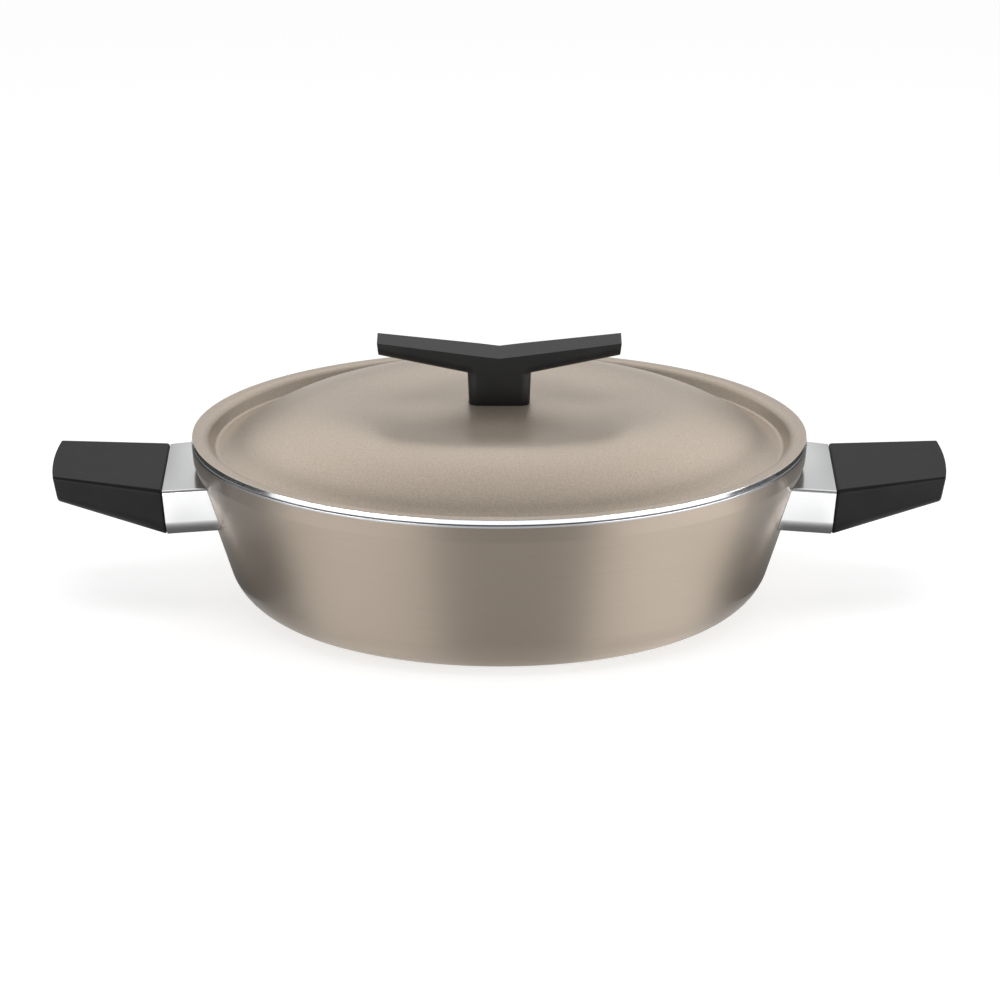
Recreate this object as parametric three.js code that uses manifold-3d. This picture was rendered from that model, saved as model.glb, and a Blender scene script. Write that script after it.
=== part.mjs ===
// Low two-handled rice pot with a seated lid. Millimetres, +Z up.
// The origin is on the pot's axis at table level, and the handles lie along X.
import * as THREE from 'three';
import { mergeVertices } from 'three/addons/utils/BufferGeometryUtils.js';
import Module from 'manifold-3d';

const wasm = await Module();
wasm.setup();
const angle = THREE.MathUtils.degToRad;

// Fits and smoothness
const CLEARANCE = 0.3;
const CUT_PAST = 10;
const MERGE_DISTANCE = 1e-4;
const ROUND_SIDES = 56;
const FASTENER_SIDES = 12;
const BEND_STEPS = 3;
const CORNER_STEPS = 6;
const DOME_STEPS = 7;

// Pot body: a pressed bowl with a short steeper collar under a bare turned rim
const POT_HEIGHT = 67.5;
const RIM_RADIUS = 123.1;
const RIM_BAND = 1.1;
const RIM_ROUNDING = 0.5;
const COLLAR_HEIGHT = 6;
const COLLAR_ANGLE = angle(5.2);
const WALL_ANGLE = angle(18.25);
const CORNER_RADIUS = 22.6;
const WALL = 2.6;
const BASE = 4;

// Lid: one pressed sheet with a flange on the rim, a seating trough and a dome
const LID_SHEET = 2;
const LID_SETBACK = 0.2;
const SEAM = 0.15;
const EDGE_ROUNDING = 0.6;
const LID_PLAY = 1.2;
const SEAT_DEPTH = 5.3;
const LIP_BEND = 2;
const SKIRT_ANGLE = angle(58);
const TROUGH_RADIUS = 1.2;
const FOOT_RADIUS = 3;
const FOOT_ANGLE = angle(22);
const FLANK_RADIUS = 45;
const FLANK_ANGLE = angle(33);
const CREST_RUN = 17.9;
const CREST_RISE = 12.8;
const DISH_DEPTH = 1.2;
const PAD_RADIUS = 17;

// Knob: a V-shaped bar on a stem, with one leaning front from the stem's foot to the top of the bar
const STEM_HEIGHT = 13.3;
const STEM_HALF_WIDTH = 12.65;
const STEM_HALF_DEPTH = 7.1;
const STEM_CORNER = 4.5;
const STEM_DRAFT = angle(2.15);
const FRONT_LEAN = angle(8.35);
const BAR_HALF_LENGTH = 48.4;
const BAR_BULGE = 0.3;
const BAR_SWEEP = angle(3.8);
const BAR_TOP_ANGLE = angle(6.75);
const BAR_UNDER_ANGLE = angle(10.9);
const BAR_DIP_HEIGHT = 20.45;
const BAR_CORNER = 3.5;
const BAR_FILLET = 0.5;
const TIP_LEAN = angle(6);

// Handles: a polished sleeve at the wall and a moulded grip
const HANDLE_DROP = 22.3;
const SLEEVE_REACH = 15.1;
const SLEEVE_PITCH = angle(5.2);
const SLEEVE_SHEET = 0.8;
const SLEEVE_FLARE = 0.08;
const JOINT_HALF_WIDTH = 34.8;
const JOINT_HALF_HEIGHT = 9.8;
const HANDLE_LEAN = 1.6;
const HANDLE_CORNER = 7;
const GRIP_LENGTH = 44.8;
const GRIP_BULGE = 1.45;
const GRIP_END_HALF_WIDTH = 27.1;
const GRIP_END_RISE = 13.5;
const GRIP_END_HEIGHT = 11.3;
const GRIP_END_LEAN = angle(11);
const GRIP_END_CORNER = 4.5;
const GRIP_STEP = 0.5;
const SPIGOT_MARGIN = 4.9;
const MOULDED_EDGE = 1;

// Handle fixing: a riveted bracket with a threaded boss, and a screw through the grip
const FLANGE_THICKNESS = 3;
const FLANGE_MARGIN = 1.5;
const FLANGE_ROOM = 2.5;
const BOSS_WALL = 2.2;
const BOSS_GAP = 1.2;
const SCREW_OFFSET = 1.8;
const SCREW_PITCH = angle(7.4);
const SCREW_RADIUS = 2;
const SCREW_HEAD_OVERHANG = 1.1;
const SCREW_HEAD_HEIGHT = 2.6;
const SCREW_HEAD_INSET = 16.8;
const SCREW_WALL_GAP = 3.4;
const WASHER_THICKNESS = 0.8;
const RIVET_MARGIN = 4;
const RIVET_RADIUS = 2.5;
const RIVET_HEAD_OVERHANG = 2;
const RIVET_HEAD_HEIGHT = 1.6;

// Knob fixing: a screw up through the lid into a brass insert
const INSERT_WALL = 1.5;
const INSERT_LENGTH = 11;
const KNOB_SCREW_RADIUS = 2;
const KNOB_SCREW_HEAD_OVERHANG = 1.8;
const KNOB_SCREW_HEAD_HEIGHT = 2.5;
const KNOB_SCREW_STOP = 2.3;
const KNOB_WASHER_MARGIN = 2.7;
const KNOB_WASHER_THICKNESS = 1;

// Finishes
function finish(color, roughness, metalness) {
  return new THREE.MeshStandardMaterial({ color, roughness, metalness });
}
const TAUPE_ENAMEL = finish('#93836f', 0.42, 0.5);
const TAUPE_SATIN = finish('#a89a87', 0.55, 0.2);
const BAKELITE = finish('#2b2b2b', 0.5, 0);
const POLISHED_STEEL = finish('#d9dadb', 0.12, 1);
const PLAIN_STEEL = finish('#b4b5b6', 0.35, 1);
const ALUMINIUM = finish('#c6c7c8', 0.35, 1);
const BRASS = finish('#c2a35a', 0.35, 1);

// Solids
function toSolid(geometry) {
  const bare = geometry.clone();
  bare.deleteAttribute('normal');
  bare.deleteAttribute('uv');
  const merged = mergeVertices(bare, MERGE_DISTANCE);
  const corners = merged.index.array;
  const triVerts = [];
  for (let i = 0; i < corners.length; i += 3) {
    const [a, b, c] = corners.slice(i, i + 3);
    if (a !== b && b !== c && c !== a) triVerts.push(a, b, c);
  }
  const mesh = new wasm.Mesh({
    numProp: 3,
    vertProperties: merged.attributes.position.array,
    triVerts: Uint32Array.from(triVerts),
  });
  return new wasm.Manifold(mesh);
}

function toGeometry(solid) {
  const { vertProperties, triVerts } = solid.getMesh();
  const geometry = new THREE.BufferGeometry();
  geometry.setAttribute('position', new THREE.BufferAttribute(vertProperties, 3));
  geometry.setIndex(new THREE.BufferAttribute(triVerts, 1));
  return geometry;
}

// A turned solid about Z; its profile runs up the outside, as [radius, height] pairs.
function turned(profile, sides) {
  const points = profile.map(([radius, height]) => new THREE.Vector2(radius, height));
  return new THREE.LatheGeometry(points, sides).rotateX(Math.PI / 2);
}

// A round bar about Z from one height to another, with a head or step where radii differ.
function roundBar(steps) {
  const profile = [[0, steps[0][1]], ...steps, [0, steps.at(-1)[1]]];
  return turned(profile, FASTENER_SIDES);
}

function ring(inner, outer, bottom, top) {
  const profile = [[inner, bottom], [outer, bottom], [outer, top], [inner, top], [inner, bottom]];
  return turned(profile, FASTENER_SIDES);
}

// Points on an arc from one angle to another, both included.
function arc(centreX, centreY, radius, from, to, steps) {
  return Array.from({ length: steps + 1 }, (_, i) => {
    const turn = from + ((to - from) * i) / steps;
    return [centreX + radius * Math.cos(turn), centreY + radius * Math.sin(turn)];
  });
}

// A moulded section as columns of [upper, lower] points: flat on top with a small edge,
// sides that lean in, and lower corners as round as the section's height allows.
function mouldedSection({ halfWidth, top, bottom, edge, lean, corner }) {
  const round = Math.min(corner, (top - bottom) / 2);
  const flat = halfWidth - lean - round;
  const lower = arc(flat, bottom + round, round, 0, -Math.PI / 2, BEND_STEPS);
  const level = lower.slice(2).map(([across]) => [across, top]);
  const upper = [[halfWidth, top - edge], [halfWidth - edge, top], ...level];
  const half = upper.map((point, i) => [point, lower[i]]);
  half.push([[flat / 2, top], [flat / 2, bottom]]);
  const other = half.map(([a, b]) => [[-a[0], a[1]], [-b[0], b[1]]]);
  return [...other, [[0, top], [0, bottom]], ...half.reverse()];
}

// Joins sections into a closed solid. Each section is a loop of columns placed in space.
function loft(sections) {
  const columns = sections[0].length;
  const loop = columns * 2;
  const positions = sections.flatMap((section) => [
    ...section.flatMap(([upper]) => upper.toArray()),
    ...section.toReversed().flatMap(([, lower]) => lower.toArray()),
  ]);
  const index = [];
  const quad = (a, b, c, d) => index.push(a, b, c, a, c, d);
  for (let s = 0; s + 1 < sections.length; s++) {
    for (let i = 0; i < loop; i++) {
      const next = (i + 1) % loop;
      quad(s * loop + i, (s + 1) * loop + i, (s + 1) * loop + next, s * loop + next);
    }
  }
  const last = (sections.length - 1) * loop;
  for (let i = 0; i + 1 < columns; i++) {
    quad(i, i + 1, loop - 2 - i, loop - 1 - i);
    quad(last + loop - 1 - i, last + loop - 2 - i, last + i + 1, last + i);
  }
  const geometry = new THREE.BufferGeometry();
  geometry.setAttribute('position', new THREE.BufferAttribute(Float32Array.from(positions), 3));
  geometry.setIndex(index);
  return geometry;
}

const placed = (section, place) => section.map((column) => column.map(([across, up]) => place(across, up)));

// Pot body
const STRAIGHT_TOP = POT_HEIGHT - RIM_BAND - COLLAR_HEIGHT;
const STRAIGHT_RADIUS = RIM_RADIUS - COLLAR_HEIGHT * Math.tan(COLLAR_ANGLE);
const wallRadius = (height) => STRAIGHT_RADIUS - (STRAIGHT_TOP - height) * Math.tan(WALL_ANGLE);

// Foot of the wall: an arc that meets a floor level and the sloping wall at an inset from its outside.
function cornerArc(floor, inset, radius) {
  const level = floor + radius;
  const centre = wallRadius(level) - (radius + inset) / Math.cos(WALL_ANGLE);
  return arc(centre, level, radius, -Math.PI / 2, -WALL_ANGLE, CORNER_STEPS);
}

function outerProfile() {
  return [
    ...cornerArc(0, 0, CORNER_RADIUS),
    [STRAIGHT_RADIUS, STRAIGHT_TOP],
    [RIM_RADIUS, POT_HEIGHT - RIM_BAND],
    [RIM_RADIUS, POT_HEIGHT - RIM_ROUNDING],
    [RIM_RADIUS - RIM_ROUNDING, POT_HEIGHT],
  ];
}

function innerProfile() {
  return [
    ...cornerArc(BASE, WALL, CORNER_RADIUS - WALL),
    [STRAIGHT_RADIUS - WALL / Math.cos(WALL_ANGLE), STRAIGHT_TOP],
    [RIM_RADIUS - WALL, POT_HEIGHT - RIM_BAND],
    [RIM_RADIUS - WALL, POT_HEIGHT - RIM_ROUNDING],
    [RIM_RADIUS - WALL + RIM_ROUNDING, POT_HEIGHT],
  ];
}

// The pot's filled outside, grown by a gap, to cut what meets the wall.
function wallCutter(gap) {
  const grown = outerProfile().map(([radius, height]) => [radius + gap / Math.cos(WALL_ANGLE), height]);
  return toSolid(turned([[0, 0], ...grown, [0, POT_HEIGHT]], ROUND_SIDES));
}

function potBody(rivetPlaces) {
  const bowl = [[0, 0], ...outerProfile(), ...innerProfile().reverse(), [0, BASE]];
  let solid = toSolid(turned(bowl, ROUND_SIDES));
  for (const place of rivetPlaces) {
    const hole = roundBar([[RIVET_HOLE_RADIUS, -CUT_PAST], [RIVET_HOLE_RADIUS, CUT_PAST]]);
    solid = solid.subtract(toSolid(hole.applyMatrix4(place)));
  }
  return toGeometry(solid);
}

// Lid
const KNOB_HOLE_RADIUS = KNOB_SCREW_RADIUS + CLEARANCE;
const FLANGE_BOTTOM = POT_HEIGHT + SEAM;
const FLANGE_TOP = FLANGE_BOTTOM + LID_SHEET;
const LID_RADIUS = RIM_RADIUS - LID_SETBACK;
const LIP = RIM_RADIUS - WALL - LID_PLAY;
const LIP_RADIUS = LIP_BEND + LID_SHEET;
const PAD_TOP = FLANGE_TOP + CREST_RISE;
const PAD_BOTTOM = PAD_TOP - LID_SHEET;

// The skirt drops from the lip to the trough as two bends with a straight stretch between them.
const SKIRT_BENDS = LIP_RADIUS + TROUGH_RADIUS;
const SKIRT_DROP = SEAT_DEPTH - SKIRT_BENDS * (1 - Math.cos(SKIRT_ANGLE));
const TROUGH_X = LIP - SKIRT_BENDS * Math.sin(SKIRT_ANGLE) - SKIRT_DROP / Math.tan(SKIRT_ANGLE);
const TROUGH_Z = FLANGE_TOP - SEAT_DEPTH;

// The dome leaves the trough at its foot angle and steepens along its flank to the flank angle.
// Its crest lies a run inside the knee of that slope.
const FLANK_X = TROUGH_X + (FLANK_RADIUS - FOOT_RADIUS) * Math.sin(FOOT_ANGLE);
const FLANK_Z = TROUGH_Z + FOOT_RADIUS + (FLANK_RADIUS - FOOT_RADIUS) * Math.cos(FOOT_ANGLE);
const SLOPE_X = FLANK_X - FLANK_RADIUS * Math.sin(FLANK_ANGLE);
const SLOPE_Z = FLANK_Z - FLANK_RADIUS * Math.cos(FLANK_ANGLE);
const CREST_RADIUS = SLOPE_X - (PAD_TOP - SLOPE_Z) / Math.tan(FLANK_ANGLE) - CREST_RUN;

// One face of the sheet, from the lip to the pad, at a depth below the upper face.
function lidFace(depth) {
  const up = Math.PI / 2;
  const bend = (x, z, radius, from, to) => arc(x, z, radius, from, to, BEND_STEPS);
  const lip = bend(LIP, FLANGE_TOP - LIP_RADIUS, LIP_RADIUS - depth, up, up + SKIRT_ANGLE);
  const trough = bend(TROUGH_X, TROUGH_Z + TROUGH_RADIUS, TROUGH_RADIUS + depth, SKIRT_ANGLE - up, -up);
  const foot = bend(TROUGH_X, TROUGH_Z + FOOT_RADIUS, FOOT_RADIUS + depth, -up, -up - FOOT_ANGLE);
  const flank = bend(FLANK_X, FLANK_Z, FLANK_RADIUS + depth, -up - FOOT_ANGLE, -up - FLANK_ANGLE);
  const start = new THREE.Vector2(...flank.at(-1));
  const crest = new THREE.Vector2(CREST_RADIUS, PAD_TOP - depth);
  const knee = new THREE.Vector2(start.x - (crest.y - start.y) / Math.tan(FLANK_ANGLE), crest.y);
  const dome = new THREE.QuadraticBezierCurve(start, knee, crest).getPoints(DOME_STEPS);
  const dish = Array.from({ length: DOME_STEPS }, (_, i) => {
    const share = (i + 1) / DOME_STEPS;
    const sag = (DISH_DEPTH * (1 - Math.cos(2 * Math.PI * share))) / 2;
    return [CREST_RADIUS + (PAD_RADIUS - CREST_RADIUS) * share, crest.y - sag];
  });
  const slope = [...foot.slice(1), ...flank.slice(1), ...dome.slice(1).map((point) => point.toArray())];
  return [...lip, ...trough, ...slope, ...dish];
}

function lidShell() {
  const edge = [
    [LID_RADIUS, FLANGE_BOTTOM],
    [LID_RADIUS, FLANGE_TOP - EDGE_ROUNDING],
    [LID_RADIUS - EDGE_ROUNDING, FLANGE_TOP],
  ];
  const under = lidFace(LID_SHEET).reverse();
  const hole = [[KNOB_HOLE_RADIUS, PAD_TOP], [KNOB_HOLE_RADIUS, PAD_BOTTOM]];
  return turned([...edge, ...lidFace(0), ...hole, ...under, edge[0]], ROUND_SIDES);
}

// Knob
const KNOB_DIP = PAD_TOP + BAR_DIP_HEIGHT;
const STEM_FLAT = STEM_HALF_WIDTH - STEM_CORNER;
const INSERT_RADIUS = KNOB_HOLE_RADIUS + INSERT_WALL;
const INSERT_BOTTOM = PAD_TOP + CLEARANCE;
const INSERT_TOP = INSERT_BOTTOM + INSERT_LENGTH;
const KNOB_SCREW_HEAD_RADIUS = KNOB_SCREW_RADIUS + KNOB_SCREW_HEAD_OVERHANG;
const KNOB_SCREW_SEAT = PAD_BOTTOM - KNOB_WASHER_THICKNESS;

// Half the knob's depth at a height: front and back lean out from the stem's foot.
const frontDepth = (height) => STEM_HALF_DEPTH + (height - PAD_TOP) * Math.tan(FRONT_LEAN);

// Height of the bar's underside, rising to the tip and rounding down into the stem.
function barUnderside(reach) {
  const out = Math.max(reach - STEM_HALF_WIDTH, 0);
  const slope = PAD_TOP + STEM_HEIGHT + out * Math.tan(BAR_UNDER_ANGLE);
  const inside = Math.max(BAR_FILLET - out, 0);
  return slope - BAR_FILLET + Math.sqrt(BAR_FILLET ** 2 - inside ** 2);
}

// Section of the bar at a place across the knob, drawn in by an inset. Past the stem's flat front
// the bar sweeps in. A tip is bowed out and leans in below.
function barSection(across, inset, isTip) {
  const reach = Math.abs(across);
  const top = KNOB_DIP + reach * Math.tan(BAR_TOP_ANGLE) - inset;
  const bottom = barUnderside(reach) + inset;
  const sweep = Math.max(reach - STEM_FLAT, 0) * Math.tan(BAR_SWEEP);
  const halfWidth = frontDepth(top - MOULDED_EDGE) - sweep - inset;
  const corner = Math.min(BAR_CORNER, (top - bottom) / 2);
  const lean = (top - MOULDED_EDGE - bottom - corner) * Math.tan(FRONT_LEAN);
  const section = mouldedSection({ halfWidth, top, bottom, edge: MOULDED_EDGE, lean, corner });
  const bow = isTip ? Math.sign(across) : 0;
  return placed(section, (side, up) => {
    const bulge = BAR_BULGE * (1 - (side / halfWidth) ** 2) - (top - up) * Math.tan(TIP_LEAN);
    return new THREE.Vector3(across + bow * bulge, side, up);
  });
}

function knobBar() {
  const fillet = arc(STEM_HALF_WIDTH + BAR_FILLET, 0, BAR_FILLET, Math.PI, Math.PI / 2, BEND_STEPS);
  const stations = [STEM_FLAT, ...fillet.map(([reach]) => reach)].map((reach) => [reach, 0, false]);
  stations.push([BAR_HALF_LENGTH - MOULDED_EDGE, 0, true], [BAR_HALF_LENGTH, MOULDED_EDGE, true]);
  const left = stations.toReversed().map(([reach, inset, isTip]) => barSection(-reach, inset, isTip));
  const right = stations.map(([reach, inset, isTip]) => barSection(reach, inset, isTip));
  return toSolid(loft([...left, barSection(0, 0, false), ...right]));
}

function stemSection(level) {
  const flat = STEM_FLAT + (level - PAD_TOP - STEM_HEIGHT) * Math.tan(STEM_DRAFT);
  const round = arc(flat, frontDepth(level) - STEM_CORNER, STEM_CORNER, 0, Math.PI / 2, BEND_STEPS);
  const half = round.map(([x, y]) => [[x, y], [x, -y]]);
  const other = half.map(([[x, y]]) => [[-x, y], [-x, -y]]);
  return placed([...other, ...half.reverse()], (x, y) => new THREE.Vector3(x, y, level));
}

function lidKnob() {
  const stem = loft([stemSection(PAD_TOP), stemSection(PAD_TOP + STEM_HEIGHT + BAR_CORNER)]);
  const boreRadius = INSERT_RADIUS + CLEARANCE;
  const bore = roundBar([[boreRadius, PAD_TOP - CUT_PAST], [boreRadius, INSERT_TOP + CLEARANCE]]);
  return toGeometry(toSolid(stem).add(knobBar()).subtract(toSolid(bore)));
}

function knobInsert() {
  return ring(KNOB_HOLE_RADIUS, INSERT_RADIUS, INSERT_BOTTOM, INSERT_TOP);
}

function knobWasher() {
  return ring(KNOB_HOLE_RADIUS, KNOB_SCREW_HEAD_RADIUS + KNOB_WASHER_MARGIN, KNOB_SCREW_SEAT, PAD_BOTTOM);
}

function knobScrew() {
  const low = KNOB_SCREW_SEAT - KNOB_SCREW_HEAD_HEIGHT;
  return roundBar([
    [KNOB_SCREW_HEAD_RADIUS - MOULDED_EDGE, low],
    [KNOB_SCREW_HEAD_RADIUS, low + MOULDED_EDGE],
    [KNOB_SCREW_HEAD_RADIUS, KNOB_SCREW_SEAT],
    [KNOB_SCREW_RADIUS, KNOB_SCREW_SEAT],
    [KNOB_SCREW_RADIUS, INSERT_TOP - KNOB_SCREW_STOP],
  ]);
}

// Handle at +X: the sleeve's own axis leaves the wall and dips by its pitch.
const HANDLE_LEVEL = POT_HEIGHT - HANDLE_DROP;
const JOINT = new THREE.Vector3(wallRadius(HANDLE_LEVEL) + SLEEVE_REACH, 0, HANDLE_LEVEL);
const ALONG = new THREE.Vector3(Math.cos(SLEEVE_PITCH), 0, -Math.sin(SLEEVE_PITCH));
const UP = new THREE.Vector3(Math.sin(SLEEVE_PITCH), 0, Math.cos(SLEEVE_PITCH));

// Fixing sizes that follow from the fits: distances along the screw are measured out from the joint.
const SCREW_HOLE_RADIUS = SCREW_RADIUS + CLEARANCE;
const SCREW_HEAD_RADIUS = SCREW_RADIUS + SCREW_HEAD_OVERHANG;
const SCREW_SHOULDER = GRIP_LENGTH - SCREW_HEAD_INSET;
const SCREW_TIP = SCREW_WALL_GAP - SLEEVE_REACH;
const BOSS_RADIUS = SCREW_HOLE_RADIUS + BOSS_WALL;
const RIVET_HOLE_RADIUS = RIVET_RADIUS + CLEARANCE;
const RIVET_HEAD_RADIUS = RIVET_RADIUS + RIVET_HEAD_OVERHANG;
const RIVET_STACK = FLANGE_THICKNESS + 2 * CLEARANCE + RIVET_HEAD_HEIGHT;
const RIVET_OFFSET = BOSS_RADIUS + RIVET_MARGIN + RIVET_HEAD_RADIUS;
const FLANGE_HALF_WIDTH = RIVET_OFFSET + RIVET_HEAD_RADIUS + FLANGE_MARGIN;
const FLANGE_HALF_HEIGHT = JOINT_HALF_HEIGHT - SLEEVE_SHEET - FLANGE_ROOM;
const SPIGOT_END = RIVET_STACK + SPIGOT_MARGIN - SLEEVE_REACH;
const BOSS_END = SPIGOT_END - BOSS_GAP;

// Section of the sleeve at a distance out from its joint with the grip, drawn in by an inset
// and raised on top by a step.
function sleeveSection(distance, inset, step = 0) {
  const halfHeight = JOINT_HALF_HEIGHT - inset;
  const section = mouldedSection({
    halfWidth: JOINT_HALF_WIDTH - distance * SLEEVE_FLARE - inset,
    top: halfHeight + step,
    bottom: -halfHeight,
    edge: MOULDED_EDGE,
    lean: HANDLE_LEAN,
    corner: HANDLE_CORNER - inset,
  });
  const centre = JOINT.clone().addScaledVector(ALONG, distance);
  return placed(section, (side, up) => new THREE.Vector3(0, side, 0).addScaledVector(UP, up).add(centre));
}

// Rounded outer end of the grip, drawn in by an inset and set back by the same amount at full size.
function gripEndSection(inset, setback) {
  const halfWidth = GRIP_END_HALF_WIDTH - inset;
  const top = HANDLE_LEVEL + GRIP_END_RISE;
  const section = mouldedSection({
    halfWidth,
    top: top - inset,
    bottom: top - GRIP_END_HEIGHT + inset,
    edge: MOULDED_EDGE,
    lean: HANDLE_LEAN,
    corner: GRIP_END_CORNER - inset,
  });
  return placed(section, (side, up) => {
    const bulge = GRIP_BULGE * (1 - (side / GRIP_END_HALF_WIDTH) ** 2);
    const x = JOINT.x + GRIP_LENGTH - setback + bulge - (top - up) * Math.tan(GRIP_END_LEAN);
    return new THREE.Vector3(x, side, up);
  });
}

// Places what is turned about Z on the screw's axis, with distances measured out from the joint.
const SCREW_AXIS = new THREE.Matrix4()
  .makeTranslation(JOINT.x, 0, JOINT.z + SCREW_OFFSET)
  .multiply(new THREE.Matrix4().makeRotationY(Math.PI / 2 - SCREW_PITCH));
const onScrew = (geometry) => geometry.applyMatrix4(SCREW_AXIS);

// Places a rivet square to the sloping wall at a turn about the pot, with its origin on the wall's outside.
function rivetPlace(side, turn) {
  const radius = wallRadius(HANDLE_LEVEL);
  const around = turn + side * Math.asin(RIVET_OFFSET / radius);
  return new THREE.Matrix4()
    .makeRotationZ(around)
    .multiply(new THREE.Matrix4().makeTranslation(radius, 0, HANDLE_LEVEL))
    .multiply(new THREE.Matrix4().makeRotationY(Math.PI / 2 + WALL_ANGLE));
}

function sleeve() {
  const depth = SLEEVE_REACH + JOINT_HALF_WIDTH;
  const outside = toSolid(loft([sleeveSection(-depth, 0), sleeveSection(0, 0)]));
  const hollow = [sleeveSection(-depth - CUT_PAST, SLEEVE_SHEET), sleeveSection(CUT_PAST, SLEEVE_SHEET)];
  const inside = toSolid(loft(hollow));
  return toGeometry(outside.subtract(inside).subtract(wallCutter(CLEARANCE)));
}

function grip() {
  const handle = toSolid(loft([
    sleeveSection(CLEARANCE, MOULDED_EDGE / 2, GRIP_STEP),
    sleeveSection(CLEARANCE + MOULDED_EDGE / 2, 0, GRIP_STEP),
    gripEndSection(0, MOULDED_EDGE),
    gripEndSection(MOULDED_EDGE, 0),
  ]));
  const inset = SLEEVE_SHEET + CLEARANCE;
  const spigot = toSolid(loft([sleeveSection(SPIGOT_END, inset), sleeveSection(2 * MOULDED_EDGE, inset)]));
  const pocketRadius = SCREW_HEAD_RADIUS + 2 * CLEARANCE;
  const bore = roundBar([
    [SCREW_HOLE_RADIUS, SPIGOT_END - CUT_PAST],
    [SCREW_HOLE_RADIUS, SCREW_SHOULDER],
    [pocketRadius, SCREW_SHOULDER],
    [pocketRadius, GRIP_LENGTH + CUT_PAST],
  ]);
  return toGeometry(handle.add(spigot).subtract(toSolid(onScrew(bore))));
}

function bracket(rivetPlaces) {
  const flangeDepth = 2 * (SLEEVE_REACH + FLANGE_HALF_WIDTH);
  const block = new THREE.BoxGeometry(flangeDepth, 2 * FLANGE_HALF_WIDTH, 2 * FLANGE_HALF_HEIGHT);
  block.translate(JOINT.x - SLEEVE_REACH, 0, HANDLE_LEVEL + SCREW_OFFSET / 2);
  const flange = wallCutter(CLEARANCE + FLANGE_THICKNESS).intersect(toSolid(block));
  const boss = toSolid(onScrew(roundBar([[BOSS_RADIUS, -2 * SLEEVE_REACH], [BOSS_RADIUS, BOSS_END]])));
  const thread = roundBar([
    [SCREW_HOLE_RADIUS, SCREW_TIP - CLEARANCE],
    [SCREW_HOLE_RADIUS, BOSS_END + CUT_PAST],
  ]);
  let solid = flange.add(boss).subtract(wallCutter(CLEARANCE)).subtract(toSolid(onScrew(thread)));
  for (const place of rivetPlaces) {
    const hole = roundBar([[RIVET_HOLE_RADIUS, -CUT_PAST], [RIVET_HOLE_RADIUS, CUT_PAST]]);
    solid = solid.subtract(toSolid(hole.applyMatrix4(place)));
  }
  return toGeometry(solid);
}

function rivet(place) {
  const inner = -WALL - CLEARANCE;
  const outer = RIVET_STACK - RIVET_HEAD_HEIGHT;
  const crown = RIVET_HEAD_RADIUS - RIVET_HEAD_HEIGHT;
  return roundBar([
    [crown, inner - RIVET_HEAD_HEIGHT],
    [RIVET_HEAD_RADIUS, inner - RIVET_HEAD_HEIGHT / 2],
    [RIVET_HEAD_RADIUS, inner],
    [RIVET_RADIUS, inner],
    [RIVET_RADIUS, outer],
    [RIVET_HEAD_RADIUS, outer],
    [RIVET_HEAD_RADIUS, outer + RIVET_HEAD_HEIGHT / 2],
    [crown, outer + RIVET_HEAD_HEIGHT],
  ]).applyMatrix4(place);
}

const WASHER_SEAT = SCREW_SHOULDER + CLEARANCE;
const WASHER_FACE = WASHER_SEAT + WASHER_THICKNESS;

function handleWasher() {
  return onScrew(ring(SCREW_HOLE_RADIUS, SCREW_HEAD_RADIUS, WASHER_SEAT, WASHER_FACE));
}

function handleScrew() {
  const seat = WASHER_FACE + CLEARANCE;
  return onScrew(roundBar([
    [SCREW_RADIUS, SCREW_TIP],
    [SCREW_RADIUS, seat],
    [SCREW_HEAD_RADIUS, seat],
    [SCREW_HEAD_RADIUS, seat + SCREW_HEAD_HEIGHT],
  ]));
}

// Assembly
const pot = new THREE.Group();

function addPiece(parent, name, geometry, material) {
  const mesh = new THREE.Mesh(geometry, material);
  mesh.name = name;
  parent.add(mesh);
}

const RIVET_SIDES = { front: -1, back: 1 };
const HANDLE_TURNS = { right: 0, left: Math.PI };
const rivetPlaces = (turn) => Object.values(RIVET_SIDES).map((side) => rivetPlace(side, turn));

addPiece(pot, 'pot_body', potBody(Object.values(HANDLE_TURNS).flatMap(rivetPlaces)), TAUPE_ENAMEL);
for (const [hand, turn] of Object.entries(HANDLE_TURNS)) {
  const handle = new THREE.Group();
  handle.rotation.z = turn;
  addPiece(handle, `bracket_${hand}`, bracket(rivetPlaces(0)), ALUMINIUM);
  for (const [face, side] of Object.entries(RIVET_SIDES)) {
    // The left handle is turned half round, so its front rivet is made on the other side.
    const sideBeforeTurn = side * Math.cos(turn);
    addPiece(handle, `rivet_${hand}_${face}`, rivet(rivetPlace(sideBeforeTurn, 0)), ALUMINIUM);
  }
  addPiece(handle, `ferrule_${hand}`, sleeve(), POLISHED_STEEL);
  addPiece(handle, `grip_${hand}`, grip(), BAKELITE);
  addPiece(handle, `handle_washer_${hand}`, handleWasher(), PLAIN_STEEL);
  addPiece(handle, `handle_screw_${hand}`, handleScrew(), PLAIN_STEEL);
  pot.add(handle);
}

const lid = new THREE.Group();
addPiece(lid, 'lid_shell', lidShell(), TAUPE_SATIN);
addPiece(lid, 'lid_knob', lidKnob(), BAKELITE);
addPiece(lid, 'knob_insert', knobInsert(), BRASS);
addPiece(lid, 'knob_washer', knobWasher(), PLAIN_STEEL);
addPiece(lid, 'knob_screw', knobScrew(), PLAIN_STEEL);
pot.add(lid);

export default pot;
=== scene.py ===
# Studio scene of a low two-handled rice pot with a seated lid.
# Metres, +Z up, with the origin under the pot's axis and the handles along X.
import math

import bmesh
import bpy
from mathutils import Matrix, Vector


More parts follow.
